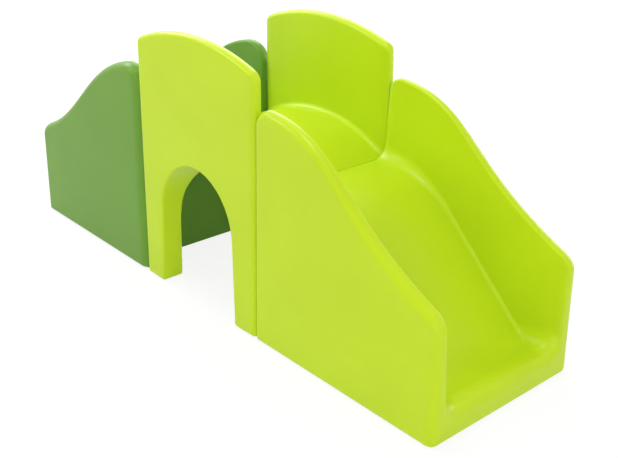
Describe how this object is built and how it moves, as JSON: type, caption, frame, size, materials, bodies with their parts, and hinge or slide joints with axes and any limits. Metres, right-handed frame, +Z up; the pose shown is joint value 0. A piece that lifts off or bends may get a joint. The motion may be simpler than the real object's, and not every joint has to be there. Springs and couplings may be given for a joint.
{
  "type": "straight slide",
  "caption": "Toddler play set with steps, an arched crawl-through bridge and a straight slide, built from hollow moulded plastic modules linked in a row.",
  "frame": {"origin": "on the floor under the middle of the set", "axes": "+X along the run from the steps to the slide's exit, +Z up, the set's plane of symmetry is Y = 0"},
  "size_m": [2.1266, 0.5996, 0.901],
  "materials": {
    "lime": "satin",
    "green": "satin",
    "foot_rubber": "matt",
    "nylon": "matt"
  },
  "bodies": {
    "root": {"stair_body": "green", "bridge_body": "lime", "slide_body": "lime", "stair_foot_1": "foot_rubber", "stair_foot_2": "foot_rubber", "stair_foot_3": "foot_rubber", "stair_foot_4": "foot_rubber", "bridge_foot_1": "foot_rubber", "bridge_foot_2": "foot_rubber", "bridge_foot_3": "foot_rubber", "bridge_foot_4": "foot_rubber", "slide_foot_1": "foot_rubber", "slide_foot_2": "foot_rubber", "slide_foot_3": "foot_rubber", "slide_foot_4": "foot_rubber", "stair_link_1": "nylon", "stair_link_2": "nylon", "stair_link_3": "nylon", "stair_link_4": "nylon", "slide_link_1": "nylon", "slide_link_2": "nylon", "slide_link_3": "nylon", "slide_link_4": "nylon", "stair_vent_plug": "nylon", "bridge_vent_plug": "nylon", "slide_vent_plug": "nylon"}
  },
  "joints": []
}
